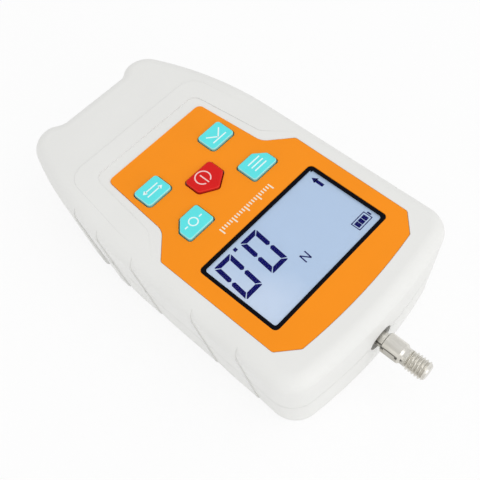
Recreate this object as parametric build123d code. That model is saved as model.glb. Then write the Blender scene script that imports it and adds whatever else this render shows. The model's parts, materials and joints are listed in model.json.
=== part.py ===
from build123d import *
import math
import os

# Handheld force gauge. Millimetres. +Y points along the measuring rod, +Z out of the face,
# z = 0 is the back and the middle of the overall length and width is the origin.

# ---- driving dimensions -------------------------------------------------------------------
CASE_LENGTH = 117.5      # rod-end face to the tail ears
CASE_WIDTH = 69.2        # widest, across the shoulders at the rod end
CASE_HEIGHT = 32.3       # back to face
WALL = 2.0
END_BULGE = 3.55         # rise of the curved rod-end face
SIDE_DRAFT = 6.1         # degrees each wall leans in towards the back
END_DRAFT = 1.4
TAIL_DRAFT = 6.7
END_CORNER_R = 8.3
TAIL_CORNER_R = 8.1
LOBE_R = 6.0             # where each ear turns into the hollow
SHOULDER_R = 4.1
BACK_EDGE_R = 3.7
BACK_RISE_R = 174.0      # the back sweeps up towards the tail
TOP_FALL_R = 3200.0      # the face falls a little around the plateau
TAPER_LENGTH = 46.2      # the sides close in over this length before the ears
TAIL_NARROWING = 11.4    # each side, at the ears
SCOOP_DEPTH = 2.4        # hollow between the two tail ears

ROD_REACH = 15.3         # rod tip beyond the rod-end face
ROD_Z = 15.6             # rod axis above the back, also the seam between the shells
ROD_THREAD_R = 3.0       # M6
ROD_COLLAR_R = 3.15
ROD_NECK_R = 2.3
ROD_HOLE_R = 4.2

PANEL_SETBACK = 44.3     # rod-end face to the line between display and keys
DISPLAY_OFFSET = 12.95   # from that line to the middle of the display
DISPLAY_W = 44.1
DISPLAY_L = 25.3
DISPLAY_FRAME = 1.15
OVERLAY_T = 0.5
KEY_RISE = 0.8
KEY_GAP = 0.4
KEY_TRAVEL = 0.5
BOARD_T = 1.6
BOARD_DEPTH = 9.3        # face to the underside of the main board

CELL_W = 25.0
CELL_L = 28.0
CELL_T = 12.0
CHASSIS_T = 2.5
CHASSIS_Z = 5.0
BATTERY_CELL_R = 5.25
BATTERY_CELL_L = 44.5
MOUNT_THREAD_R = 2.0     # M4
MOUNT_SPACING_X = 33.0
MOUNT_SPACING_Y = 26.0

SLIP = 0.1               # clearance of a part that drops into a pocket
LEAD_R = 0.5

# ---- positions that follow ----------------------------------------------------------------
FACE_Y = (CASE_LENGTH - ROD_REACH) / 2
TAIL_Y = FACE_Y - CASE_LENGTH
TIP_Y = FACE_Y + ROD_REACH
TAPER_Y = TAIL_Y + TAPER_LENGTH
DATUM = FACE_Y - PANEL_SETBACK
TOP = CASE_HEIGHT
CEILING = TOP - WALL
BOARD_Z = TOP - BOARD_DEPTH
BOARD_TOP = BOARD_Z + BOARD_T
DISPLAY_Y = DATUM + DISPLAY_OFFSET
GLASS_TOP = TOP - 0.8
SWITCH_TOP = BOARD_TOP + 3.5
PLUNGER_TOP = SWITCH_TOP + KEY_TRAVEL + 0.1
CELL_Y1 = FACE_Y - 12.3
CELL_Y0 = CELL_Y1 - CELL_L
CELL_Y = (CELL_Y0 + CELL_Y1) / 2
BRACKET_T = 3.0
PACK_Y = TAIL_Y + 37.1
PACK_Z = 11.6
PACK_R = BATTERY_CELL_R + 0.35
BAR_T = 1.2
BAR_Z = PACK_Z + PACK_R + SLIP
BAR_TOP = BAR_Z + BAR_T
PORT_BOARD_Z = 11.4
PORT_BOARD_T = 1.2
PORT_TOP = PORT_BOARD_Z + PORT_BOARD_T

CASE_SCREWS = [(sx * 25.0, FACE_Y - 11.3) for sx in (-1, 1)]
CASE_SCREWS += [(sx * 17.5, TAIL_Y + 11.5) for sx in (-1, 1)]
CASE_SCREW_SEAT = 8.5
BOARD_SCREWS = [(sx * 17.5, DATUM + 31.5) for sx in (-1, 1)]
BOARD_SCREWS += [(sx * 24.5, DATUM - 36.0) for sx in (-1, 1)]
CHASSIS_SCREWS = [(sx * 16.5, DATUM + y) for sx in (-1, 1) for y in (-12.0, 31.0)]
MOUNT_Y = DATUM + 9.0
MOUNTS = [(sx * MOUNT_SPACING_X / 2, MOUNT_Y + sy * MOUNT_SPACING_Y / 2)
          for sx in (-1, 1) for sy in (-1, 1)]
PACK_POST_X = BATTERY_CELL_L / 2 + 3.15
PACK_POSTS = [(sx * PACK_POST_X, PACK_Y) for sx in (-1, 1)]
PORT_POSTS = [(sx * 8.5, TAIL_Y + 17.4) for sx in (-1, 1)]
JACK_X = -5.5
JACK_Z = PORT_TOP + 5.0
DATA_X = 5.2
DATA_Z = PORT_TOP + 2.0


# ---- small helpers ------------------------------------------------------------------------
def peg(x, y, z0, z1, radius):
    return Pos(x, y, (z0 + z1) / 2) * Cylinder(radius, z1 - z0)


def axle(x, z, y0, y1, radius):
    return Pos(x, (y0 + y1) / 2, z) * Rot(90, 0, 0) * Cylinder(radius, y1 - y0)


def block(x0, x1, y0, y1, z0, z1):
    middle = Pos((x0 + x1) / 2, (y0 + y1) / 2, (z0 + z1) / 2)
    return middle * Box(x1 - x0, y1 - y0, z1 - z0)


def prism(face, z0, z1):
    return extrude(Pos(0, 0, z0) * face, amount=z1 - z0)


def rounded(points, radii):
    return make_face(FilletPolyline(*points, radius=radii, close=True))


def mirrored(points):
    return points + [(-x, y) for x, y in reversed(points)]


def rounded_rect(x, y, width, length, radius):
    return Pos(x, y) * RectangleRounded(width, length, radius)


def wire(points, bend):
    path = FilletPolyline(*points, radius=bend)
    return sweep(Plane(origin=path @ 0, z_dir=path % 0) * Circle(LEAD_R), path=path)


def screw(x, y, seat, length, shank_r, head_r, head_h, point_up):
    sign = 1 if point_up else -1
    shank = peg(x, y, min(seat, seat + sign * length), max(seat, seat + sign * length), shank_r)
    head = peg(x, y, min(seat, seat - sign * head_h), max(seat, seat - sign * head_h), head_r)
    return shank + head


# ---- case form ----------------------------------------------------------------------------
def rounding(draft):
    """How far the shoulder radius pulls a leaning wall in from its sharp top edge."""
    lean = math.radians(draft)
    return SHOULDER_R * (math.tan(lean) + 1 / math.cos(lean) - 1)


def wall_inset(z, draft, inset):
    return (TOP - z) * math.tan(math.radians(draft)) - rounding(draft) + inset


def plan(z, inset):
    """Sharp outline of the case at height z, moved in by inset."""
    side = wall_inset(z, SIDE_DRAFT, inset)
    front = FACE_Y - wall_inset(z, END_DRAFT, inset)
    tail = TAIL_Y + wall_inset(z, TAIL_DRAFT, inset)
    half = CASE_WIDTH / 2 - side
    corner = (half, front - END_BULGE)
    taper = (half - 0.7, TAPER_Y)
    ear = (half - TAIL_NARROWING, tail)
    lobe = (half - 18.8, tail)
    scoop = (half - 22.0, tail + SCOOP_DEPTH)
    lines = Line(corner, taper)
    lines += TangentArc(taper, ear, tangent=(taper[0] - corner[0], taper[1] - corner[1]))
    lines += Polyline(ear, lobe, scoop, (0, scoop[1]))
    lines += mirror(lines, about=Plane.YZ)
    lines += ThreePointArc(corner, (0, front), (-corner[0], corner[1]))
    face = Pos(0, 0, z) * make_face(lines)

    def at(point):
        return [v for v in face.vertices()
                if abs(abs(v.X) - point[0]) < 0.01 and abs(v.Y - point[1]) < 0.01]

    face = fillet(at(corner), END_CORNER_R - inset)
    face = fillet(at(ear), TAIL_CORNER_R - inset)
    face = fillet(at(lobe), LOBE_R - inset)
    return fillet(at(scoop), 4.0 + inset)


def side_view(inset):
    """Side profile: flat back sweeping up to the tail, face falling very slightly."""
    y0 = TAIL_Y - 20
    y1 = FACE_Y + 20
    back_y = FACE_Y - 65.7
    top_y = FACE_Y - 57.3
    back_r = BACK_RISE_R - inset
    top_r = TOP_FALL_R - inset
    back_end = BACK_RISE_R - math.sqrt(back_r ** 2 - (back_y - y0) ** 2)
    top_end = TOP - TOP_FALL_R + math.sqrt(top_r ** 2 - (top_y - y0) ** 2)
    lines = Polyline((y0, back_end), (y0, top_end))
    lines += TangentArc((top_y, TOP - inset), (y0, top_end), tangent=(-1, 0))
    lines += Polyline((top_y, TOP - inset), (y1, TOP - inset), (y1, inset), (back_y, inset))
    lines += TangentArc((back_y, inset), (y0, back_end), tangent=(-1, 0))
    face = Plane.YZ * make_face(lines)
    return extrude(face, amount=CASE_WIDTH, both=True)


def case_block(inset):
    low, high = -1.0, TOP + 1.0
    return loft([plan(low, inset), plan(high, inset)], ruled=True) & side_view(inset)


def rim(body, upper):
    """Edges round the top or the bottom of the block."""
    kept = []
    for edge in body.edges():
        middle = edge @ 0.5
        flat_join = abs((edge @ 0).Y - (edge @ 1).Y) < 1e-3 and abs(middle.Y) < abs(TAIL_Y) - 12
        if abs((edge @ 0).Z - (edge @ 1).Z) < 3.0 and not flat_join:
            if (middle.Z > TOP - 6) == upper and abs(middle.Z - TOP / 2) > TOP / 4:
                kept.append(edge)
    return kept


def case_solid(inset):
    body = case_block(inset)
    body = fillet(rim(body, True), SHOULDER_R - inset)
    return fillet(rim(body, False), BACK_EDGE_R - inset)


def side_x(y):
    """Half width of the sharp outline at the top."""
    half = CASE_WIDTH / 2 + rounding(SIDE_DRAFT)
    if y > TAPER_Y:
        return half - 0.7 * (FACE_Y - END_BULGE - y) / (FACE_Y - END_BULGE - TAPER_Y)
    return half - 0.7 - (TAIL_NARROWING - 0.7) * ((TAPER_Y - y) / TAPER_LENGTH) ** 2


def grip_grooves():
    """Five slanting saw-tooth grooves down each side, none between the third and fourth.

    Each runs up the wall, then follows the shoulder and fades out before the face.
    """
    cutters = []
    reach = 7.5
    depth = 0.42
    slant = 5.0
    slope = math.tan(math.radians(SIDE_DRAFT))
    out = math.radians(58)
    bend = TOP - SHOULDER_R * (1 + math.sin(math.radians(SIDE_DRAFT)))
    for station in (-43.0, -32.3, -18.0, 5.6, 21.9):
        y = DATUM + station
        x = side_x(y)
        hub = x - SHOULDER_R * (slope + math.sqrt(1 + slope ** 2))
        start = (x - slope * (TOP + 1), y + slant, -1)
        knee = (x - slope * (TOP - bend), y + slant * (TOP - bend) / (TOP + 1), bend)
        tip = (hub + (SHOULDER_R + depth) * math.cos(out), y,
               TOP - SHOULDER_R + (SHOULDER_R + depth) * math.sin(out))
        up = Vector(*knee) - Vector(*start)
        path = Line(start, knee) + TangentArc(knee, tip, tangent=up)
        section = Plane(origin=start, x_dir=(1, 0, -slope), z_dir=up)
        tooth = Polyline((-depth, 0), (side_x(y + reach) - x + 0.05, reach), (3, reach), (3, 0),
                         close=True)
        cutter = sweep(section * make_face(tooth), path=path)
        cutters += [cutter, mirror(cutter, about=Plane.YZ)]
    return cutters


def plateau():
    """Raised flat round the panel; its edge shows as a ridge at the tail only."""
    def level(grow, z):
        points = [(29.2 + grow, DATUM - 9), (29.2 + grow, DATUM - 25),
                  (25.6 + grow, DATUM - 51.9 - grow)]
        face = rounded(mirrored(points), [1, 20, 6 + grow, 6 + grow, 20, 1])
        return Pos(0, 0, z) * face
    return loft([level(1.2, TOP - 1.2), level(0, TOP)], ruled=True)


def panel_rim():
    """Shallow dish round the tail half of the panel, fading out at the waist."""
    points = [(29.5, DATUM - 11), (29.5, DATUM - 12.5), (23.2, DATUM - 20.5),
              (20.6, DATUM - 45.8)]
    outline = prism(rounded(mirrored(points), [0.5, 1, 4, 3, 3, 4, 1, 0.5]), TOP - 2, TOP + 1)
    fall = make_face(Polyline((DATUM - 11, TOP), (DATUM - 60, TOP - 0.4), (DATUM - 60, TOP + 1),
                              (DATUM - 11, TOP + 1), close=True))
    return outline & extrude(Plane.YZ * fall, amount=40, both=True)


# ---- face features ------------------------------------------------------------------------
def panel_face(grow):
    """Orange overlay outline: narrow at the keys, wide round the display."""
    side = [(22.3 + grow, DATUM + 34.8 + grow), (27.95 + grow, DATUM + 29.7 + grow),
            (27.95 + grow, DATUM - 10.5 - grow), (20.55 + grow, DATUM - 17.5 - grow / 2),
            (18.85 + grow, DATUM - 41.75 - grow)]
    crown = DATUM + 36.2 + grow
    lines = Polyline(*side, *[(-x, y) for x, y in reversed(side)])
    lines += ThreePointArc(side[0], (0, crown), (-side[0][0], side[0][1]))
    face = make_face(lines)
    for point, radius in zip(side, (1.0, 1.2, 1.4, 5.0, 1.8)):
        pair = [v for v in face.vertices()
                if abs(abs(v.X) - point[0]) < 0.01 and abs(v.Y - point[1]) < 0.01]
        face = fillet(pair, radius)
    return face


def slab_key(side, grow):
    return rounded_rect(side * 13.1, DATUM - 29.05, 9.0 + 2 * grow, 6.9 + 2 * grow, 1.1 + grow)


def clipped_key(side, grow):
    inner = 8.4 - grow
    outer = 18.1 + grow
    low = DATUM - 16.2 - grow
    high = DATUM - 9.0 + grow
    cut = 3.2 + 0.4 * grow
    points = [(inner, low), (outer - cut, low), (outer, low + cut), (outer, high), (inner, high)]
    points = [(side * x, y) for x, y in points]
    return rounded(points, [0.9 + grow / 2] * 5)


def power_face(grow):
    half = 5.1 + grow
    points = [(-half, DATUM - 24.0 - grow), (half, DATUM - 24.0 - grow),
              (half, DATUM - 18.4 + grow / 2), (0, DATUM - 15.2 + grow),
              (-half, DATUM - 18.4 + grow / 2)]
    return rounded(points, [1.1 + grow / 2] * 5)


KEYS = {
    "key_unit": (13.1, DATUM - 29.05, lambda grow: slab_key(1, grow)),
    "key_peak": (-13.1, DATUM - 29.05, lambda grow: slab_key(-1, grow)),
    "key_zero": (13.25, DATUM - 12.6, lambda grow: clipped_key(1, grow)),
    "key_set": (-13.25, DATUM - 12.6, lambda grow: clipped_key(-1, grow)),
    "key_power": (0.0, DATUM - 20.4, power_face),
}


def key(name):
    x, y, face = KEYS[name]
    flange = prism(face(KEY_GAP + 0.8), CEILING - 1.0, CEILING)
    cap = prism(face(0), CEILING, TOP + KEY_RISE)
    cap = fillet(cap.faces().sort_by(Axis.Z)[-1].edges(), 0.4)
    return flange + cap + peg(x, y, PLUNGER_TOP, CEILING - 1.0, 2.0)


def display_rect(grow, z0, z1, radius=1.5):
    return prism(rounded_rect(0, DISPLAY_Y, DISPLAY_W + 2 * grow, DISPLAY_L + 2 * grow, radius),
                 z0, z1)


def key_holes(z0, z1):
    return [prism(face(KEY_GAP), z0, z1) for _, _, face in KEYS.values()]


# ---- shells -------------------------------------------------------------------------------
PACK_SLEEVE_GAP = 0.05
FIT = 0.03
SEAM_H = 0.25
SEAM_DEPTH = 0.35
CASE_SCREW_R = 1.45
BOARD_SCREW_R = 1.1
CHASSIS_SCREW_R = 1.5
BUSH_R = 3.25


def pack_shape(radius, length):
    """Side-by-side cells as one rounded bar along X."""
    outline = SlotCenterToCenter(4 * BATTERY_CELL_R + 0.2, 2 * radius)
    return Pos(-length / 2, PACK_Y, PACK_Z) * extrude(Plane.YZ * outline, amount=length)


def above(z):
    return block(-60, 60, -100, 100, z, 60)


def below(z):
    return block(-60, 60, -100, 100, -20, z)


def shells():
    outer = case_solid(0) + plateau() - panel_rim()
    for cutter in grip_grooves():
        outer -= cutter
    inner = case_solid(WALL)
    core = case_solid(WALL / 2)
    skin = outer - inner
    tongue = case_block(WALL / 2 + 0.05) & block(-60, 60, -100, 100, ROD_Z - 1.5, ROD_Z + 1)
    tongue -= inner
    channel = case_block(WALL / 2) & block(-60, 60, -100, 100, ROD_Z - 1.6, ROD_Z + 1)

    posts = [peg(x, y, ROD_Z, CEILING + 0.6, 3.6) for x, y in CASE_SCREWS]
    posts += [peg(x, y, BOARD_TOP, CEILING + 0.6, 2.2) for x, y in BOARD_SCREWS]
    front = (skin & above(ROD_Z)) + tongue
    for post in posts:
        front += post & core
    front -= prism(panel_face(SLIP), TOP - OVERLAY_T, TOP + 1)
    front -= display_rect(DISPLAY_FRAME + SLIP, CEILING - 1, TOP + 1)
    for hole in key_holes(CEILING - 1, TOP + 1):
        front -= hole
    for _, _, face in KEYS.values():
        front -= prism(face(KEY_GAP + 1.0), CEILING - 1.5, CEILING)
    for x, y in CASE_SCREWS:
        front -= peg(x, y, ROD_Z - 2, CASE_SCREW_SEAT + 16.5, CASE_SCREW_R + FIT)
    for x, y in BOARD_SCREWS:
        front -= peg(x, y, BOARD_TOP - 1, BOARD_TOP + 4.4, BOARD_SCREW_R + FIT)
    front -= block(-60, 60, -100, 100, ROD_Z, ROD_Z + SEAM_H) - case_block(SEAM_DEPTH)

    posts = [peg(x, y, -2, ROD_Z, 4.2) for x, y in CASE_SCREWS]
    posts += [peg(x, y, -2, CHASSIS_Z, 3.2) for x, y in CHASSIS_SCREWS]
    posts += [peg(x, y, -2, BAR_Z, 2.6) for x, y in PACK_POSTS]
    posts += [peg(x, y, -2, PORT_BOARD_Z, 2.5) for x, y in PORT_POSTS]
    cradle = pack_shape(PACK_R + SLIP, CASE_WIDTH)
    for x in (-14, 0, 14):
        rib = block(x - 1, x + 1, PACK_Y - 17.4, PACK_Y + 17.4, -2, PACK_Z - 1)
        posts.append(rib - cradle)
    rear = (skin & below(ROD_Z)) - channel
    for post in posts:
        rear += post & core
    for x, y in CASE_SCREWS:
        rear -= peg(x, y, -2, CASE_SCREW_SEAT, 3.25)
        rear -= peg(x, y, -2, ROD_Z + 1, CASE_SCREW_R + 0.2)
    for x, y in CHASSIS_SCREWS:
        rear -= peg(x, y, 1.2, CHASSIS_Z + 1, CHASSIS_SCREW_R + FIT)
    for spots, seat in ((PACK_POSTS, BAR_TOP), (PORT_POSTS, PORT_TOP)):
        for x, y in spots:
            rear -= peg(x, y, seat - 5.8, seat, BOARD_SCREW_R + FIT)
    for x, y in MOUNTS:
        rear -= peg(x, y, -2, WALL + 1, BUSH_R + 0.25)

    rod_hole = axle(0, ROD_Z, FACE_Y - 8, FACE_Y + 5, ROD_HOLE_R)
    jack_hole = axle(JACK_X, JACK_Z, TAIL_Y - 5, TAIL_Y + 6.9, 3.2)
    data_hole = block(DATA_X - 4.2, DATA_X + 4.2, TAIL_Y - 5, TAIL_Y + 7, DATA_Z - 2.35,
                      DATA_Z + 2.35)
    cuts = rod_hole + jack_hole + data_hole
    return front - cuts, rear - cuts


# ---- display ------------------------------------------------------------------------------
def display():
    flange_z = CEILING - 1.2
    bezel = display_rect(DISPLAY_FRAME, flange_z, TOP - 0.15)
    bezel += display_rect(DISPLAY_FRAME + 1.2, flange_z, CEILING)
    bezel -= display_rect(0, flange_z - 1, TOP + 1, 0.8)
    glass_z = GLASS_TOP - 2.2
    light_z = glass_z - 2.6
    panel = display_rect(-SLIP, glass_z, GLASS_TOP, 0.7)
    light = display_rect(-SLIP, light_z, glass_z, 0.7)
    lens = display_rect(-SLIP, GLASS_TOP, TOP - 0.25, 0.7)
    holder = display_rect(DISPLAY_FRAME, BOARD_TOP, flange_z)
    holder -= display_rect(0, light_z, flange_z + 1, 0.8)
    holder -= display_rect(-4, BOARD_TOP - 1, light_z + 1, 0.8)
    return bezel, lens, panel, light, holder


def overlay():
    sheet = prism(panel_face(0), TOP - OVERLAY_T, TOP)
    sheet -= display_rect(DISPLAY_FRAME + SLIP, TOP - 2, TOP + 1)
    for hole in key_holes(TOP - 2, TOP + 1):
        sheet -= hole
    return sheet


# ---- boards -------------------------------------------------------------------------------
def main_board():
    edge = [(20.6, DATUM + 36.0), (20.6, DATUM + 27.4), (27.5, DATUM + 27.4),
            (27.5, DATUM - 40.0)]
    board = prism(rounded(mirrored(edge), [1.0] * 8), BOARD_Z, BOARD_TOP)
    for x, y in BOARD_SCREWS:
        board -= peg(x, y, BOARD_Z - 1, BOARD_TOP + 1, BOARD_SCREW_R + 0.15)
    return board


SOCKETS = {
    "battery": (-15.5, PACK_Y + 2 * BATTERY_CELL_R + 0.1, 7.0, 5.0, 4.5),
    "sensor": (19.5, DATUM + 12.0, 6.0, 7.2, 4.5),
    "port": (0.0, DATUM - 34.2, 7.2, 6.0, 4.1),
}


def board_sockets():
    parts = []
    for x, y, width, length, height in SOCKETS.values():
        parts.append(block(x - width / 2, x + width / 2, y - length / 2, y + length / 2,
                           BOARD_Z - height, BOARD_Z))
    return Compound(parts)


def board_chips():
    chips = [block(-5, 5, DATUM - 38.6, DATUM - 28.6, BOARD_TOP, BOARD_TOP + 1.6),
             block(19.0, 25.0, DATUM - 8.0, DATUM - 3.0, BOARD_Z - 1.5, BOARD_Z),
             block(-24.0, -18.0, DATUM + 14.0, DATUM + 19.0, BOARD_Z - 1.5, BOARD_Z),
             peg(-20.0, DATUM + 5.0, BOARD_Z - 5.5, BOARD_Z, 2.5),
             peg(22.0, DATUM + 22.0, BOARD_Z - 5.5, BOARD_Z, 2.5)]
    return Compound(chips)


def switches():
    bodies = []
    plungers = {}
    for name, (x, y, _) in KEYS.items():
        body = block(x - 3, x + 3, y - 3, y + 3, BOARD_TOP, SWITCH_TOP)
        bodies.append(body - peg(x, y, PLUNGER_TOP - 1.8, SWITCH_TOP + 1, 1.75 + 0.08))
        plungers["plunger" + name[3:]] = peg(x, y, PLUNGER_TOP - 1.2, PLUNGER_TOP, 1.75)
    return Compound(bodies), plungers


def port_board():
    board = block(-11, 11, TAIL_Y + 7.0, TAIL_Y + 19.4, PORT_BOARD_Z, PORT_TOP)
    for x, y in PORT_POSTS:
        board -= peg(x, y, PORT_BOARD_Z - 1, PORT_TOP + 1, BOARD_SCREW_R + 0.15)
    return board


def dc_jack():
    y0 = TAIL_Y + 6.6
    body = block(JACK_X - 4.5, JACK_X + 4.5, y0, y0 + 8.5, PORT_TOP, JACK_Z + 5.0)
    body -= axle(JACK_X, JACK_Z, y0 - 1, y0 + 7.3, 2.75)
    return body + axle(JACK_X, JACK_Z, y0 + 0.8, y0 + 7.5, 1.0)


def data_port():
    y0 = TAIL_Y + 6.8
    body = block(DATA_X - 3.9, DATA_X + 3.9, y0, y0 + 8.2, PORT_TOP, DATA_Z + 2.0)
    body -= block(DATA_X - 3.4, DATA_X + 3.4, y0 - 1, y0 + 7.0, DATA_Z - 1.5, DATA_Z + 1.5)
    return body + block(DATA_X - 2.6, DATA_X + 2.6, y0 + 0.6, y0 + 7.2, DATA_Z - 0.4, DATA_Z + 0.4)


# ---- measuring chain ----------------------------------------------------------------------
def chassis():
    plate = block(-20, 20, DATUM - 15, FACE_Y - 10.3, CHASSIS_Z, CHASSIS_Z + CHASSIS_T)
    half = CELL_W / 2
    plate += block(-half, half, CELL_Y0 - BRACKET_T, CELL_Y0, CHASSIS_Z, ROD_Z + CELL_T / 2)
    plate -= axle(0, ROD_Z, CELL_Y0 - 5, CELL_Y0 + 1, ROD_THREAD_R + 0.2)
    for x, y in CHASSIS_SCREWS:
        plate -= peg(x, y, CHASSIS_Z - 1, CHASSIS_Z + CHASSIS_T + 1, CHASSIS_SCREW_R + 0.2)
    for x, y in MOUNTS:
        plate -= peg(x, y, CHASSIS_Z - 1, CHASSIS_Z + CHASSIS_T + 1, BUSH_R)
    return plate


def load_cell():
    """S-beam: two slots from opposite sides and a necked window between them."""
    half = CELL_W / 2
    z0 = ROD_Z - CELL_T / 2
    z1 = ROD_Z + CELL_T / 2
    beam = block(-half, half, CELL_Y0, CELL_Y1, z0, z1)
    beam -= block(-7.5, half + 1, CELL_Y + 5.7, CELL_Y + 7.3, z0 - 1, z1 + 1)
    beam -= block(-half - 1, 7.5, CELL_Y - 7.3, CELL_Y - 5.7, z0 - 1, z1 + 1)
    window = block(-4.5, 4.5, CELL_Y - 1, CELL_Y + 1, z0 - 1, z1 + 1)
    window += peg(-4.5, CELL_Y, z0 - 1, z1 + 1, 3.2)
    window += peg(4.5, CELL_Y, z0 - 1, z1 + 1, 3.2)
    beam -= window
    beam -= axle(0, ROD_Z, CELL_Y1 - 6.0, CELL_Y1 + 1, 2.5 + 0.08)
    return beam - axle(0, ROD_Z, CELL_Y0 - 1, CELL_Y0 + 6.0, ROD_THREAD_R + FIT)


def cell_bolt():
    y = CELL_Y0 - BRACKET_T
    return axle(0, ROD_Z, y, CELL_Y0 + 5.6, ROD_THREAD_R) + axle(0, ROD_Z, y - 6.0, y, 5.0)


def measuring_rod():
    """Stud, neck, flatted collar, shank and thread turned from one bar."""
    steps = [(0, -33.1), (2.5, -33.1), (2.5, -23.2), (ROD_NECK_R, -23.2), (ROD_NECK_R, -13.9),
             (ROD_COLLAR_R, -13.9), (ROD_COLLAR_R, -8.4), (2.6, -7.7), (2.6, -6.2),
             (ROD_THREAD_R, -6.2), (ROD_THREAD_R, -0.6), (ROD_THREAD_R - 0.6, 0), (0, 0)]
    profile = make_face(Polyline(*steps, close=True))
    rod = Pos(0, TIP_Y, ROD_Z) * revolve(profile, axis=Axis.Y)
    flat = ROD_COLLAR_R - 0.35
    for side in (-1, 1):
        x = side * (flat + 1)
        rod -= block(x - 1, x + 1, TIP_Y - 12.9, TIP_Y - 9.2, ROD_Z - 5, ROD_Z + 5)
    return rod


def rod_nut():
    hexagon = Plane.XZ * RegularPolygon(radius=4.0, side_count=6, major_radius=False)
    nut = Pos(0, CELL_Y1 + 4.4, ROD_Z) * extrude(hexagon, amount=4.0)
    return nut - axle(0, ROD_Z, CELL_Y1 - 1, CELL_Y1 + 6, 2.5 + FIT)


def mounting_bushes():
    bushes = []
    for x, y in MOUNTS:
        bush = peg(x, y, 0.3, CHASSIS_Z + CHASSIS_T, BUSH_R)
        bushes.append(bush - peg(x, y, 0, CHASSIS_Z + CHASSIS_T - 1.2, MOUNT_THREAD_R))
    return Compound(bushes)


# ---- battery ------------------------------------------------------------------------------
def battery_cells():
    cells = []
    for step in (-1, 0, 1):
        y = PACK_Y + step * (2 * BATTERY_CELL_R + 0.1)
        barrel = Rot(0, 90, 0) * Cylinder(BATTERY_CELL_R, BATTERY_CELL_L)
        cells.append(Pos(0, y, PACK_Z) * barrel)
    return Compound(cells)


def battery_sleeve():
    outer = pack_shape(PACK_R, BATTERY_CELL_L - 0.6)
    return outer - pack_shape(BATTERY_CELL_R + PACK_SLEEVE_GAP, CASE_WIDTH)


def battery_bar():
    half = PACK_POST_X + 2.8
    bar = block(-half, half, PACK_Y - 5, PACK_Y + 5, BAR_Z, BAR_TOP)
    for x, y in PACK_POSTS:
        bar -= peg(x, y, BAR_Z - 1, BAR_TOP + 1, BOARD_SCREW_R + 0.15)
    return bar


# ---- leads --------------------------------------------------------------------------------
def battery_lead():
    x, y, width, _, _ = SOCKETS["battery"]
    start = -BATTERY_CELL_L / 2
    level = BOARD_Z - 2.4
    wires = [wire([(start, y + dy, PACK_Z), (-PACK_POST_X, y + dy, PACK_Z),
                   (-PACK_POST_X, y + dy, level), (x - width / 2, y + dy, level)], 1.5)
             for dy in (-0.8, 0.8)]
    return Compound(wires)


def sensor_lead():
    x, y, _, _, height = SOCKETS["sensor"]
    wires = [wire([(CELL_W / 2, y + dy, ROD_Z), (x, y + dy, ROD_Z), (x, y + dy, BOARD_Z - height)],
                  1.5) for dy in (-1.8, -0.6, 0.6, 1.8)]
    return Compound(wires)


def port_lead():
    x, y, _, length, _ = SOCKETS["port"]
    start = TAIL_Y + 17.4
    level = BOARD_Z - 2.2
    wires = [wire([(x + dx, start, PORT_TOP), (x + dx, start, level),
                   (x + dx, y - length / 2, level)], 2.0) for dx in (-1.8, -0.6, 0.6, 1.8)]
    return Compound(wires)


# ---- fasteners ----------------------------------------------------------------------------
def case_screws():
    return Compound([screw(x, y, CASE_SCREW_SEAT, 16.0, CASE_SCREW_R, 3.0, 2.2, True)
                     for x, y in CASE_SCREWS])


def board_screws():
    small = [screw(x, y, BOARD_Z, 5.5, BOARD_SCREW_R, 2.0, 1.5, True) for x, y in BOARD_SCREWS]
    small += [screw(x, y, BAR_TOP, 5.5, BOARD_SCREW_R, 2.0, 1.5, False) for x, y in PACK_POSTS]
    small += [screw(x, y, PORT_TOP, 5.5, BOARD_SCREW_R, 2.0, 1.5, False) for x, y in PORT_POSTS]
    return Compound(small)


def chassis_screws():
    seat = CHASSIS_Z + CHASSIS_T
    return Compound([screw(x, y, seat, 6.0, CHASSIS_SCREW_R, 2.75, 1.6, False)
                     for x, y in CHASSIS_SCREWS])


# ---- export -------------------------------------------------------------------------------
os.makedirs("parts", exist_ok=True)
front_shell, rear_shell = shells()
bezel, lens, panel, light, holder = display()
switch_bodies, plungers = switches()
nodes = {
    "front_shell": front_shell,
    "rear_shell": rear_shell,
    "face_overlay": overlay(),
    "display_bezel": bezel,
    "display_lens": lens,
    "lcd_panel": panel,
    "lcd_backlight": light,
    "lcd_holder": holder,
    "main_board": main_board(),
    "board_sockets": board_sockets(),
    "board_chips": board_chips(),
    "buzzer": peg(-19.5, DATUM - 10.0, BOARD_Z - 5.0, BOARD_Z, 4.5),
    "switch_bodies": switch_bodies,
    "port_board": port_board(),
    "dc_jack": dc_jack(),
    "data_port": data_port(),
    "chassis_plate": chassis(),
    "load_cell": load_cell(),
    "cell_bolt": cell_bolt(),
    "measuring_rod": measuring_rod(),
    "rod_nut": rod_nut(),
    "mounting_bushes": mounting_bushes(),
    "battery_cells": battery_cells(),
    "battery_sleeve": battery_sleeve(),
    "battery_bar": battery_bar(),
    "battery_lead": battery_lead(),
    "sensor_lead": sensor_lead(),
    "port_lead": port_lead(),
    "case_screws": case_screws(),
    "board_screws": board_screws(),
    "chassis_screws": chassis_screws(),
}
nodes.update(plungers)
nodes.update({name: key(name) for name in KEYS})
for name, shape in nodes.items():
    export_step(shape, f"parts/{name}.step")
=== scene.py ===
import json
import math

import bpy
from mathutils import Matrix, Vector


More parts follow.
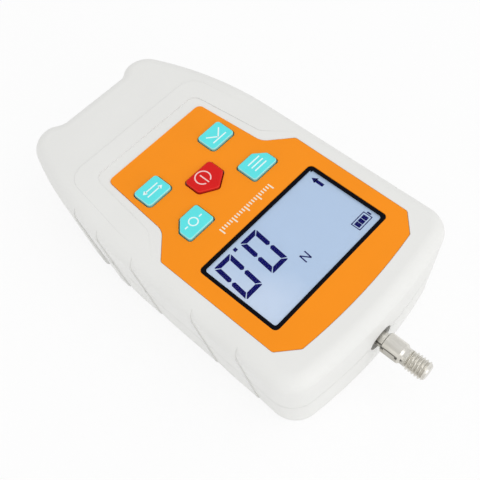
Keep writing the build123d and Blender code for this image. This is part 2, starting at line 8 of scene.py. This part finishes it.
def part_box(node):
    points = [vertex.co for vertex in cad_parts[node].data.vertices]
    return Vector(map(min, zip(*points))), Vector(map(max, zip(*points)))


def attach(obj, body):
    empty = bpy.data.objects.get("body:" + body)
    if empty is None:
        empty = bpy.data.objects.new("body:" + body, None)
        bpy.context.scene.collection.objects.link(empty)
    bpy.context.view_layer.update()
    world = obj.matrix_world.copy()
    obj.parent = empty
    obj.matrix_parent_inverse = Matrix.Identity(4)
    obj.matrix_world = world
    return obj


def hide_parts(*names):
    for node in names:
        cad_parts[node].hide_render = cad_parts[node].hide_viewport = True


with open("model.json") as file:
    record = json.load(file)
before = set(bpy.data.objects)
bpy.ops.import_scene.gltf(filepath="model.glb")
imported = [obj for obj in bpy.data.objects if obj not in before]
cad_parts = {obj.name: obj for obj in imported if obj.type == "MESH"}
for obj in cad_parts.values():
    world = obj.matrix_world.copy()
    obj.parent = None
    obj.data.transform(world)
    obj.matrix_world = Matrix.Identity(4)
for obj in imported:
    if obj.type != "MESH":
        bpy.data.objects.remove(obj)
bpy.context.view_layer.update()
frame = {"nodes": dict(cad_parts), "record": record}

# Handheld force gauge: its finishes, its signs, the thread of its rod, and the studio.
# Lengths are metres, but outlines of signs and the profile of the rod are millimetres.

# ---- sizes ------------------------------------------------------------------------------
MM = 0.001
TOP = 0.0323                                      # the face, level with the overlay
GLASS = TOP - 0.8 * MM                            # top of the display panel
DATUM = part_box("lcd_panel")[0][1] - 0.4 * MM      # y of the line between display and keys
KEY_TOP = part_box("key_unit")[1][2]
rod_low, rod_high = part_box("measuring_rod")
TIP_Y = rod_high[1]
ROD_Z = (rod_low[2] + rod_high[2]) / 2


# ---- shader nodes -----------------------------------------------------------------------
def new_material(name):
    mat = bpy.data.materials.new(name)
    mat.use_nodes = True
    return mat, mat.node_tree, mat.node_tree.nodes["Principled BSDF"]


def noise(tree, scale, detail, stretch=(1, 1, 1)):
    """Soft noise fixed to the object, drawn out along the axes whose stretch is small."""
    coord = tree.nodes.new("ShaderNodeTexCoord")
    mapping = tree.nodes.new("ShaderNodeMapping")
    mapping.inputs["Scale"].default_value = stretch
    tex = tree.nodes.new("ShaderNodeTexNoise")
    tex.inputs["Scale"].default_value = scale
    tex.inputs["Detail"].default_value = detail
    tree.links.new(coord.outputs["Object"], mapping.inputs["Vector"])
    tree.links.new(mapping.outputs["Vector"], tex.inputs["Vector"])
    return tex.outputs["Fac"]


def ramp(tree, source, stops):
    """Colour by value. Each stop is a position and its colour, from the lowest up."""
    node = tree.nodes.new("ShaderNodeValToRGB")
    ends = node.color_ramp.elements
    for end, (position, colour) in ((ends[0], stops[0]), (ends[1], stops[-1])):
        end.position = position
        end.color = (*colour, 1)
    for position, colour in stops[1:-1]:
        ends.new(position).color = (*colour, 1)
    tree.links.new(source, node.inputs["Fac"])
    return node.outputs["Color"]


def remap(tree, source, low, high):
    node = tree.nodes.new("ShaderNodeMapRange")
    node.inputs["To Min"].default_value = low
    node.inputs["To Max"].default_value = high
    tree.links.new(source, node.inputs["Value"])
    return node.outputs["Result"]


def maths(tree, operation, *values):
    """Each value is a number or the output that feeds it."""
    node = tree.nodes.new("ShaderNodeMath")
    node.operation = operation
    for socket, value in zip(node.inputs, values):
        if isinstance(value, bpy.types.NodeSocket):
            tree.links.new(value, socket)
        else:
            socket.default_value = value
    return node.outputs["Value"]


def multiply(tree, first, second):
    """The product of two colours."""
    node = tree.nodes.new("ShaderNodeMix")
    node.data_type = "RGBA"
    node.blend_type = "MULTIPLY"
    node.inputs["Factor"].default_value = 1.0
    tree.links.new(first, node.inputs["A"])
    tree.links.new(second, node.inputs["B"])
    return node.outputs["Result"]


def mix_shaders(tree, share, first, second):
    node = tree.nodes.new("ShaderNodeMixShader")
    tree.links.new(share, node.inputs["Fac"])
    tree.links.new(first, node.inputs[1])
    tree.links.new(second, node.inputs[2])
    return node.outputs["Shader"]


def bump(tree, shader, source, strength, distance):
    node = tree.nodes.new("ShaderNodeBump")
    node.inputs["Strength"].default_value = strength
    node.inputs["Distance"].default_value = distance
    tree.links.new(source, node.inputs["Height"])
    tree.links.new(node.outputs["Normal"], shader.inputs["Normal"])
    return node


def component(tree, vector, letter):
    node = tree.nodes.new("ShaderNodeSeparateXYZ")
    tree.links.new(vector, node.inputs["Vector"])
    return node.outputs[letter]


def grey(value):
    return value, value, value


# ---- materials --------------------------------------------------------------------------
GLOSS_SPREAD = 0.06
GRAIN_STRENGTH = 0.2


def surface(name, colour, rough, metallic=0.0, vary=0.04, cloud=60.0, grain=2500.0,
            grain_depth=0.02 * MM, stretch=(1, 1, 1), specular=0.5, soften=0.0):
    """A finish with cloudy tone, uneven gloss and a fine grain; soften rounds off edges."""
    mat, tree, shader = new_material(name)
    darker = [c * (1 - vary) for c in colour]
    lighter = [min(1.0, c * (1 + vary)) for c in colour]
    tone = ramp(tree, noise(tree, cloud, 4.0, stretch), [(0.3, darker), (0.7, lighter)])
    tree.links.new(tone, shader.inputs["Base Color"])
    fine = noise(tree, grain, 2.0, stretch)
    gloss = remap(tree, fine, rough - GLOSS_SPREAD, rough + GLOSS_SPREAD)
    tree.links.new(gloss, shader.inputs["Roughness"])
    relief = bump(tree, shader, fine, GRAIN_STRENGTH, grain_depth)
    shader.inputs["Metallic"].default_value = metallic
    shader.inputs["Specular IOR Level"].default_value = specular
    if soften:
        edge = tree.nodes.new("ShaderNodeBevel")
        edge.samples = 6
        edge.inputs["Radius"].default_value = soften
        tree.links.new(edge.outputs["Normal"], relief.inputs["Normal"])
    return mat


def key_plastic(name, top, lit_rim):
    """A satin key: its rounded rim is painted paler than the top as a painted highlight, and its
    foot is painted darker as painted shade.
    """
    mat, tree, shader = new_material(name)
    upward = component(tree, tree.nodes.new("ShaderNodeNewGeometry").outputs["Normal"], "Z")
    # Painted light: the colour follows how far the surface faces up, with a painted highlight on
    # the rim and painted shade at the foot.
    foot = [c * 0.75 for c in lit_rim]
    tone = ramp(tree, upward, [(0.1, foot), (0.6, lit_rim), (0.985, top)])
    speck = ramp(tree, noise(tree, 300.0, 3.0), [(0.2, grey(0.93)), (0.8, grey(1.0))])
    tree.links.new(multiply(tree, tone, speck), shader.inputs["Base Color"])
    shader.inputs["Roughness"].default_value = 0.42
    shader.inputs["Specular IOR Level"].default_value = 0.25
    bump(tree, shader, noise(tree, 3000.0, 2.0), 0.15, 0.02 * MM)
    return mat


def lcd_glow(name):
    """A backlit display: pale blue, with painted light making it a little brighter towards one
    side.
    """
    per_metre = 11.0
    middle = 0.5
    cloudiness = 0.35
    mat, tree, shader = new_material(name)
    across = component(tree, tree.nodes.new("ShaderNodeTexCoord").outputs["Object"], "X")
    # Painted light: the colour brightens steadily across X.
    slope = maths(tree, "MULTIPLY_ADD", across, per_metre, middle)
    level = maths(tree, "MULTIPLY_ADD", noise(tree, 45.0, 3.0), cloudiness, slope)
    tone = ramp(tree, level, [(0.35, (0.38, 0.47, 0.60)), (0.75, (0.39, 0.48, 0.61)),
                              (1.0, (0.50, 0.56, 0.66))])
    tree.links.new(tone, shader.inputs["Base Color"])
    tree.links.new(tone, shader.inputs["Emission Color"])
    shader.inputs["Emission Strength"].default_value = 0.45
    shader.inputs["Roughness"].default_value = 0.5
    return mat


def turned_steel(name, colour):
    """Bright turned steel with lengthwise streaks, a painted reflection of a dark thin card as a
    dark line, and painted shade on the side facing +X.
    """
    mat = surface(name, colour, 0.30, metallic=1.0, vary=0.12, cloud=450.0, grain=1500.0,
                  grain_depth=0.01 * MM, stretch=(1, 0.06, 1))
    tree = mat.node_tree
    shader = tree.nodes["Principled BSDF"]
    normal = tree.nodes.new("ShaderNodeNewGeometry").outputs["Normal"]
    # Painted reflection: a thin dark line where the surface faces one fixed way, as if mirroring
    # a dark card.
    towards_painted_reflection = tree.nodes.new("ShaderNodeVectorMath")
    towards_painted_reflection.operation = "DOT_PRODUCT"
    towards_painted_reflection.inputs[1].default_value = (0.906, 0, 0.423)
    tree.links.new(normal, towards_painted_reflection.inputs[0])
    painted_reflection = ramp(tree, towards_painted_reflection.outputs["Value"],
                [(0.985, grey(1.0)), (0.997, grey(0.2)), (1.0, grey(0.2))])
    # Painted shade: the steel is painted darker where it faces +X.
    side = ramp(tree, component(tree, normal, "X"),
                [(0.2, grey(1.0)), (0.75, (0.80, 0.79, 0.77)), (1.0, (0.58, 0.57, 0.55))])
    streaks = shader.inputs["Base Color"].links[0].from_socket
    tone = multiply(tree, multiply(tree, streaks, painted_reflection), side)
    tree.links.new(tone, shader.inputs["Base Color"])
    return mat


def clear_lens(name):
    """A thin clear window with a faint, slightly smeared gloss."""
    mat, tree, _ = new_material(name)
    clear = tree.nodes.new("ShaderNodeBsdfTransparent")
    clear.inputs["Color"].default_value = (0.97, 0.985, 1.0, 1)
    gloss = tree.nodes.new("ShaderNodeBsdfGlossy")
    tree.links.new(remap(tree, noise(tree, 120.0, 3.0), 0.08, 0.16), gloss.inputs["Roughness"])
    facing = tree.nodes.new("ShaderNodeFresnel")
    facing.inputs["IOR"].default_value = 1.18
    seen = mix_shaders(tree, facing.outputs["Fac"], clear.outputs["BSDF"], gloss.outputs["BSDF"])
    tree.links.new(seen, tree.nodes["Material Output"].inputs["Surface"])
    return mat


SURFACES = {
    "shell_white": dict(colour=(0.82, 0.82, 0.80), rough=0.48, vary=0.012, grain=2200.0,
                        soften=0.2 * MM),
    "overlay_orange": dict(colour=(0.97, 0.29, 0.004), rough=0.45, vary=0.02, specular=0.2),
    "bezel_black": dict(colour=(0.003, 0.003, 0.006), rough=0.6, vary=0.1, specular=0.05),
    "lcd_light": dict(colour=(0.8, 0.86, 0.95), rough=0.4),
    "holder_white": dict(colour=(0.75, 0.75, 0.73), rough=0.5),
    "board_green": dict(colour=(0.02, 0.16, 0.07), rough=0.35, vary=0.15, cloud=500.0),
    "part_black": dict(colour=grey(0.02), rough=0.5, vary=0.1),
    "socket_cream": dict(colour=(0.7, 0.66, 0.55), rough=0.5),
    "plate_aluminium": dict(colour=(0.72, 0.73, 0.74), rough=0.35, metallic=1.0, vary=0.05,
                            stretch=(1, 0.1, 1)),
    "cell_aluminium": dict(colour=(0.66, 0.67, 0.69), rough=0.3, metallic=1.0, vary=0.05,
                           stretch=(0.1, 1, 1)),
    "screw_steel": dict(colour=(0.45, 0.45, 0.46), rough=0.35, metallic=1.0, vary=0.1),
    "bush_brass": dict(colour=(0.7, 0.5, 0.2), rough=0.3, metallic=1.0, vary=0.08),
    "cell_silver": dict(colour=(0.7, 0.7, 0.72), rough=0.25, metallic=1.0, vary=0.05),
    "sleeve_blue": dict(colour=(0.03, 0.1, 0.35), rough=0.3, vary=0.1),
    "lead_insulation": dict(colour=(0.25, 0.02, 0.02), rough=0.45, vary=0.1),
    "port_metal": dict(colour=(0.6, 0.6, 0.62), rough=0.3, metallic=1.0, vary=0.08),
    "digit_navy": dict(colour=(0.006, 0.006, 0.14), rough=0.6, vary=0.1, specular=0.05),
    "print_cream": dict(colour=(0.90, 0.84, 0.66), rough=0.5),
    "key_white": dict(colour=(0.80, 0.97, 0.97), rough=0.5),
    "key_pink": dict(colour=(0.93, 0.62, 0.60), rough=0.5),
}
FINISHES = {name: surface(name, **look) for name, look in SURFACES.items()}
FINISHES["lens_clear"] = clear_lens("display_clear")
FINISHES["lcd_glass"] = lcd_glow("lcd_glass")
FINISHES["key_cyan"] = key_plastic("key_cyan", (0.12, 0.82, 0.84), (0.40, 0.97, 0.97))
FINISHES["key_red"] = key_plastic("key_red", (0.72, 0.002, 0.001), (0.80, 0.03, 0.02))
FINISHES["steel"] = turned_steel("steel", (0.75, 0.73, 0.68))

for part in frame["record"]["subparts"]:
    for holder in frame["nodes"][part["node"]].material_slots:
        holder.material = FINISHES[part["material_slot"]]


# ---- pieces -----------------------------------------------------------------------------
def piece(name, verts, faces, finish, body, smooth=False):
    mesh = bpy.data.meshes.new(name)
    mesh.from_pydata(verts, [], faces)
    mesh.materials.append(FINISHES[finish])
    mesh.polygons.foreach_set("use_smooth", [smooth] * len(mesh.polygons))
    obj = bpy.data.objects.new(name, mesh)
    bpy.context.scene.collection.objects.link(obj)
    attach(obj, body)
    return obj


# ---- signs ------------------------------------------------------------------------------
# An outline is a list of (x, y) in millimetres, with y from DATUM towards the rod. Its points
# run counter-clockwise as seen from above.
def prints(name, outlines, z0, z1, finish, body, slot):
    """Thin flat shapes from z0 up to z1."""
    verts = []
    faces = []
    for outline in outlines:
        n = len(outline)
        k = len(verts)
        verts += [(x * MM, DATUM + y * MM, z0) for x, y in outline]
        verts += [(x * MM, DATUM + y * MM, z1) for x, y in outline]
        faces.append([k + n + i for i in range(n)])
        faces.append([k + n - 1 - i for i in range(n)])
        faces += [(k + i, k + (i + 1) % n, k + n + (i + 1) % n, k + n + i) for i in range(n)]
    piece(name, verts, faces, finish, body)


def bar(x0, y0, x1, y1, width):
    """A straight stroke between two points."""
    along = Vector((x1 - x0, y1 - y0)).normalized()
    side = Vector((-along.y, along.x)) * width / 2
    return [(x0 - side.x, y0 - side.y), (x1 - side.x, y1 - side.y),
            (x1 + side.x, y1 + side.y), (x0 + side.x, y0 + side.y)]


def arc(radius, start, end, width):
    """A curved stroke from one angle to another, in degrees, as a row of short pieces."""
    steps = 28
    inner = radius - width / 2
    outer = radius + width / 2
    shapes = []
    for i in range(steps):
        a = math.radians(start + (end - start) * i / steps)
        b = math.radians(start + (end - start) * (i + 1) / steps)
        corners = ((inner, a), (outer, a), (outer, b), (inner, b))
        shapes.append([(r * math.cos(angle), r * math.sin(angle)) for r, angle in corners])
    return shapes


def moved(outlines, dx, dy):
    return [[(x + dx, y + dy) for x, y in outline] for outline in outlines]


def zero_digit():
    """Six lit bars of a seven-bar zero, leaning right, with clipped outer corners."""
    width = 6.4
    height = 13.1
    bar_w = 1.42
    lean = 0.088
    gap = 0.16                     # between neighbouring bars
    clip = 0.35                    # off the outer corners
    half_point = 0.15              # half the width of a bar's blunt end at the waist
    taper = height / 2 - 0.75      # where a side bar starts to narrow towards the waist
    point = height / 2 - 0.3       # where it ends
    foot = [(gap + clip, 0), (width - gap - clip, 0), (width - gap, clip / 2),
            (width - bar_w - gap, bar_w), (bar_w + gap, bar_w), (gap, clip / 2)]
    left = [(0, gap + clip), (bar_w, bar_w + gap), (bar_w, taper),
            (bar_w / 2 + half_point, point), (bar_w / 2 - half_point, point), (0, taper)]
    shapes = [foot, [(x, height - y) for x, y in reversed(foot)]]
    for flip_x in (False, True):
        for flip_y in (False, True):
            shape = [(width - x if flip_x else x, height - y if flip_y else y) for x, y in left]
            shapes.append(shape[::-1] if flip_x != flip_y else shape)
    return [[(x + lean * y, y) for x, y in shape] for shape in shapes]


def unit_letter():
    """The letter N, leaning right."""
    left, right = -0.15, 1.85
    low, high = 16.4, 19.1
    lean = 0.25
    width = 0.38
    return [bar(left, low, left + lean, high, width), bar(left + lean, high, right, low, width),
            bar(right, low, right + lean, high, width)]


def battery_sign():
    """A battery outline with its cap and three full cells."""
    left, right = -20.5, -15.1
    low, high = 20.6, 23.5
    line = 0.26
    shapes = [bar(left - 0.1, y, right + 0.1, y, line) for y in (low, high)]
    shapes += [bar(x, low, x, high, line) for x in (left, right)]
    shapes.append(bar(-21.1, 21.4, -21.1, 22.7, 0.5))
    return shapes + [bar(x, 21.15, x, 22.95, 1.32) for x in (-19.2, -17.7, -16.2)]


DISPLAY_INK = (GLASS + 0.02 * MM, GLASS + 0.06 * MM, "digit_navy", "case", "part_black")
DECIMAL_POINT = [(11.1, 1.3), (12.2, 1.3), (12.3, 2.4), (11.2, 2.4)]
ARROW = [bar(-20.2, 6.4, -20.2, 3.4, 1.05), [(-21.3, 3.8), (-20.2, 2.1), (-19.2, 3.8)]]
digits = moved(zero_digit(), 3.15, 1.5) + moved(zero_digit(), 13.5, 1.5)
prints("display_digits", digits + [DECIMAL_POINT], *DISPLAY_INK)
prints("display_marks", unit_letter() + ARROW + battery_sign(), *DISPLAY_INK)

TICK_Y = -5.6
TICK_LONG = 2.2
TICK_SHORT = 1.2
ticks = [bar(x, TICK_Y, x, TICK_Y + (TICK_SHORT if i % 5 else TICK_LONG), 0.42)
         for i, x in enumerate(range(-10, 11))]
prints("overlay_scale", ticks, TOP - 0.01 * MM, TOP + 0.02 * MM, "print_cream", "case",
       "overlay_orange")

# Each key has the place of its icon, the icon's finish, and the icon drawn round (0, 0).
STROKE = 0.4
TWO_ARROWS = [bar(-2.7, -0.8, 2.1, -0.8, STROKE), bar(-2.1, 0.8, 2.7, 0.8, STROKE),
              [(1.9, -1.6), (3.1, -0.8), (1.9, 0.0)], [(-3.1, 0.8), (-1.9, 0.0), (-1.9, 1.6)]]
PEAK_AND_LINE = [bar(-2.7, -1.4, 0, 1.0, 0.42), bar(0, 1.0, 2.7, -1.4, 0.42),
                 bar(-2.7, 1.6, 2.7, 1.6, 0.42)]
RING_AND_DASHES = arc(1.35, 0, 360, STROKE)
RING_AND_DASHES += [bar(-3.3, 0, -2.2, 0, STROKE), bar(2.2, 0, 3.3, 0, STROKE)]
THREE_LINES = [bar(-2.4, y, 2.4, y, STROKE) for y in (-1.4, 0, 1.4)]
POWER_SIGN = arc(2.3, 112, 428, 0.38) + [bar(-0.05, -1.2, -0.05, 2.4, 0.38)]
ICONS = {
    "unit": (13.1, -29.0, "key_white", TWO_ARROWS),
    "peak": (-13.1, -29.0, "key_white", PEAK_AND_LINE),
    "zero": (13.2, -12.5, "key_white", RING_AND_DASHES),
    "set": (-13.2, -12.5, "key_white", THREE_LINES),
    "power": (0.65, -21.0, "key_pink", POWER_SIGN),
}
for name, (x, y, finish, icon) in ICONS.items():
    prints(f"{name}_icon", moved(icon, x, y), KEY_TOP - 0.03 * MM, KEY_TOP + 0.02 * MM, finish,
           f"{name}_button", "holder_white")


# ---- measuring rod ----------------------------------------------------------------------
# Places along the rod are millimetres from its tip, and each step of the profile is a place
# and a radius.
THREAD_START = -6.1      # at the groove behind the thread
THREAD_LENGTH = 5.5
THREAD_RUN_IN = 0.5      # over which the thread grows to its full depth
PITCH = 1.0
CREST_R = 3.0
ROOT_R = 2.42
FLANK_TOP = 1.15         # over 1, so that the crest is flat
FLANK_SLOPE = 2.6        # steep enough that the root is flat too
FLAT_START = -12.9       # the flats of the collar, for a spanner
FLAT_END = -9.2
FLAT_HALF = 2.8
COLLAR_R = 3.15
STUD = [(-33.1, 2.3), (-32.8, 2.5), (-23.2, 2.5)]
NECK = [(-23.2, 2.3), (-13.9, 2.3)]
COLLAR = [(-13.9, 2.95), (-13.7, COLLAR_R)]
COLLAR += [(edge + side, COLLAR_R) for edge in (FLAT_START, FLAT_END) for side in (-0.01, 0.01)]
COLLAR += [(-8.4, COLLAR_R)]
GROOVE = [(-7.7, 2.6), (-6.45, 2.6), (-6.2, 2.75)]
ROD_END = [(-0.5, 2.62), (0.0, 2.2)]


def thread_radius(s, turn):
    """Radius of the thread at a place along the rod and a share of a turn."""
    phase = (s / PITCH + turn) % 1.0
    tooth = min(1.0, max(0.0, FLANK_TOP - FLANK_SLOPE * abs(phase - 0.5)))
    grown = min(1.0, max(0.0, (s - THREAD_START) / THREAD_RUN_IN))
    return ROOT_R + (CREST_R - ROOT_R) * tooth * grown


def threaded_rod():
    """The measuring rod with its real thread, turned about the rod axis."""
    around = 64
    steps = 70
    turns = [j / around for j in range(around)]
    rings = [(s, [r] * around) for s, r in STUD + NECK + COLLAR + GROOVE]
    for i in range(steps + 1):
        s = THREAD_START + THREAD_LENGTH * i / steps
        rings.append((s, [thread_radius(s, turn) for turn in turns]))
    rings += [(s, [r] * around) for s, r in ROD_END]
    verts = []
    for s, radii in rings:
        for turn, radius in zip(turns, radii):
            x = radius * math.cos(2 * math.pi * turn)
            z = radius * math.sin(2 * math.pi * turn)
            if FLAT_START < s < FLAT_END:
                x = max(-FLAT_HALF, min(FLAT_HALF, x))
            verts.append((x * MM, TIP_Y + s * MM, ROD_Z + z * MM))
    last = (len(rings) - 1) * around
    faces = [tuple(range(around)), tuple(reversed(range(last, last + around)))]
    for i in range(0, last, around):
        for j in range(around):
            k = (j + 1) % around
            faces.append((i + j, i + around + j, i + around + k, i + k))
    turned = piece("threaded_rod", verts, faces, "steel", "rod", smooth=True)
    turned.data.set_sharp_from_angle(angle=math.radians(35))
    return turned


rod = threaded_rod()
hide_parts("measuring_rod")

# ---- floor and world --------------------------------------------------------------------
FLOOR_GLOW = 0.84        # how far the floor turns white to the camera and in reflections
WORLD_LIGHT = 0.79


def white_floor():
    """A white floor that keeps the shadow of the object."""
    mat, tree, shader = new_material("floor_white")
    tone = ramp(tree, noise(tree, 8.0, 2.0), [(0.2, grey(0.93)), (0.8, grey(0.95))])
    tree.links.new(tone, shader.inputs["Base Color"])
    shader.inputs["Roughness"].default_value = 0.9
    shader.inputs["Specular IOR Level"].default_value = 0.1
    glow = tree.nodes.new("ShaderNodeEmission")
    glow.inputs["Strength"].default_value = 1.0
    ray = tree.nodes.new("ShaderNodeLightPath").outputs
    seen = maths(tree, "MAXIMUM", ray["Is Camera Ray"], ray["Is Transmission Ray"])
    seen = maths(tree, "MAXIMUM", seen, ray["Is Glossy Ray"])
    share = maths(tree, "MULTIPLY", seen, FLOOR_GLOW)
    lit = mix_shaders(tree, share, shader.outputs["BSDF"], glow.outputs["Emission"])
    tree.links.new(lit, tree.nodes["Material Output"].inputs["Surface"])
    return mat


def studio_world():
    """Even light from all round, in front of a backdrop that is white to the camera."""
    world = bpy.data.worlds.new("studio")
    world.use_nodes = True
    tree = world.node_tree
    light = tree.nodes["Background"]
    backdrop = tree.nodes.new("ShaderNodeBackground")
    for background, strength in ((light, WORLD_LIGHT), (backdrop, 1.0)):
        background.inputs["Color"].default_value = (1, 1, 1, 1)
        background.inputs["Strength"].default_value = strength
    ray = tree.nodes.new("ShaderNodeLightPath").outputs
    sky = mix_shaders(tree, ray["Is Camera Ray"], light.outputs["Background"],
                      backdrop.outputs["Background"])
    tree.links.new(sky, tree.nodes["World Output"].inputs["Surface"])
    return world


bpy.ops.mesh.primitive_plane_add(size=6, location=(0, 0, -0.02 * MM))
floor = bpy.context.object
floor.name = "floor"
floor.data.materials.append(white_floor())
bpy.context.scene.world = studio_world()


# ---- lamps and camera -------------------------------------------------------------------
def softbox(name, position, target, size, power):
    lamp = bpy.data.lights.new(name, "AREA")
    lamp.energy = power
    lamp.size = size
    obj = bpy.data.objects.new(name, lamp)
    obj.location = position
    aim = Vector(target) - Vector(position)
    obj.rotation_euler = aim.to_track_quat("-Z", "Y").to_euler()
    bpy.context.scene.collection.objects.link(obj)


softbox("key_light", (-0.25, 0.45, 0.75), (0, 0, 0.02), 0.8, 1.6)
softbox("rod_end_light", (0.05, 0.9, 0.25), (0, 0.05, 0.02), 0.5, 1.0)
softbox("side_fill", (0.8, -0.25, 0.3), (0, -0.04, 0.02), 0.6, 0.55)

CAMERA_PLACE = (0.08647, 0.095408, 0.218049)
CAMERA_RIGHT = Vector((-0.677098, 0.733212, -0.062766))
CAMERA_DOWN = Vector((0.645471, 0.550773, -0.529166))
CAMERA_AHEAD = Vector((-0.353421, -0.398811, -0.846194))
camera_data = bpy.data.cameras.new("camera")
camera_data.lens = 60.288
camera_data.sensor_width = 36.0
camera = bpy.data.objects.new("camera", camera_data)
facing = Matrix((CAMERA_RIGHT, -CAMERA_DOWN, -CAMERA_AHEAD)).transposed().to_4x4()
camera.matrix_world = Matrix.Translation(CAMERA_PLACE) @ facing
bpy.context.scene.collection.objects.link(camera)
bpy.context.scene.camera = camera
bpy.context.scene.view_settings.view_transform = "Standard"
